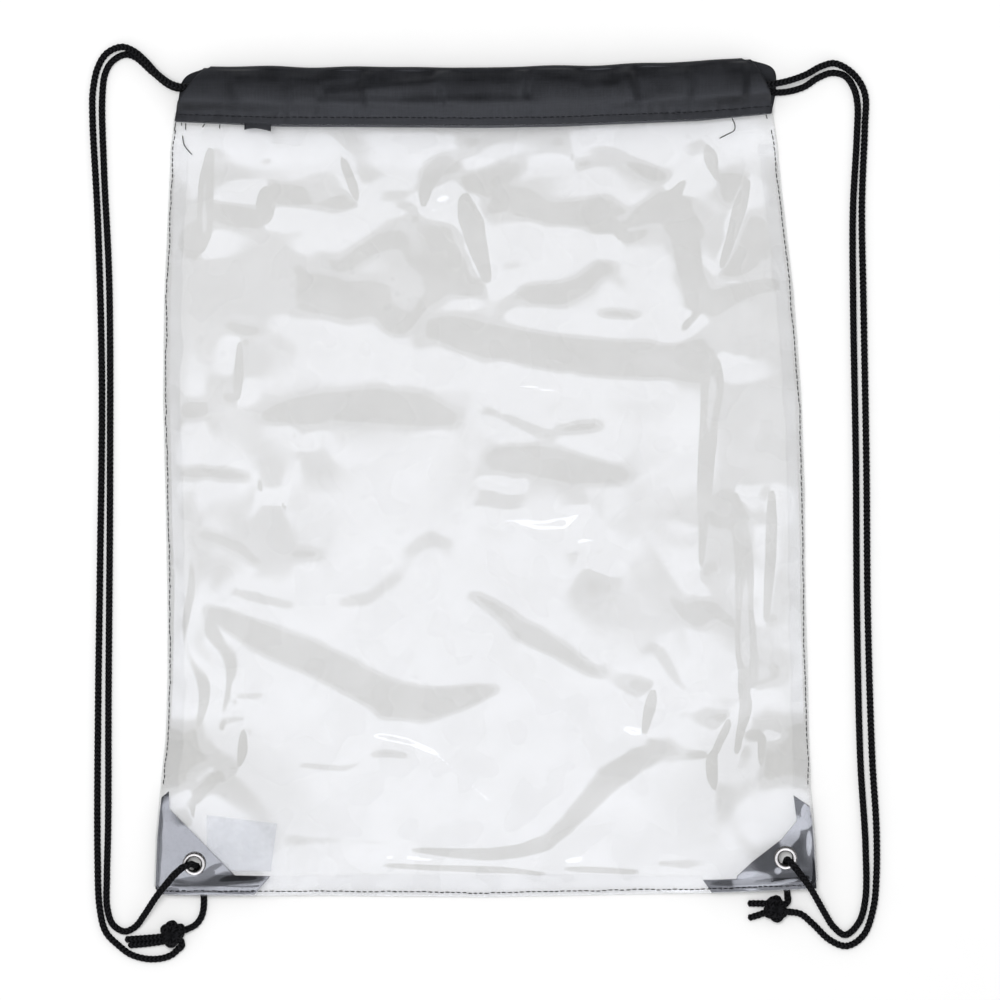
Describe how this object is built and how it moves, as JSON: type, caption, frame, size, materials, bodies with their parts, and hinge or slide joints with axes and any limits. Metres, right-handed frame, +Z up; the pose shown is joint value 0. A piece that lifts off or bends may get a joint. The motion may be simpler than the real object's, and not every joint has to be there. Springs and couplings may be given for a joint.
{
  "type": "pvc backpack",
  "caption": "Clear PVC drawstring backpack lying flat, with a black cloth casing at its mouth and braided drawcords knotted through metal eyelets in patched bottom corners.",
  "frame": {"origin": "on the surface that the bag lies on, under the middle of the bag without its cords", "axes": "+X to the right of the bag as it lies, +Y from its bottom seam towards its mouth, +Z up from the surface"},
  "size_m": [0.4072, 0.4725, 0.0223],
  "materials": {
    "clear_sheet": "clear gloss, softly creased",
    "cloth": "plain woven",
    "cord": "braided",
    "eyelet": "plated, warm silver",
    "label": "thin woven ribbon"
  },
  "bodies": {
    "root": {"back_panel": "clear_sheet", "front_panel": "clear_sheet", "left_seam": "clear_sheet", "right_seam": "clear_sheet", "bottom_seam": "clear_sheet", "label": "label", "left_corner_patch": "cloth", "right_corner_patch": "cloth", "back_casing": "cloth", "front_casing": "cloth", "left_cord": "cord", "left_eyelet": "eyelet", "left_knot": "cord", "right_cord": "cord", "right_eyelet": "eyelet", "right_knot": "cord"}
  },
  "joints": []
}
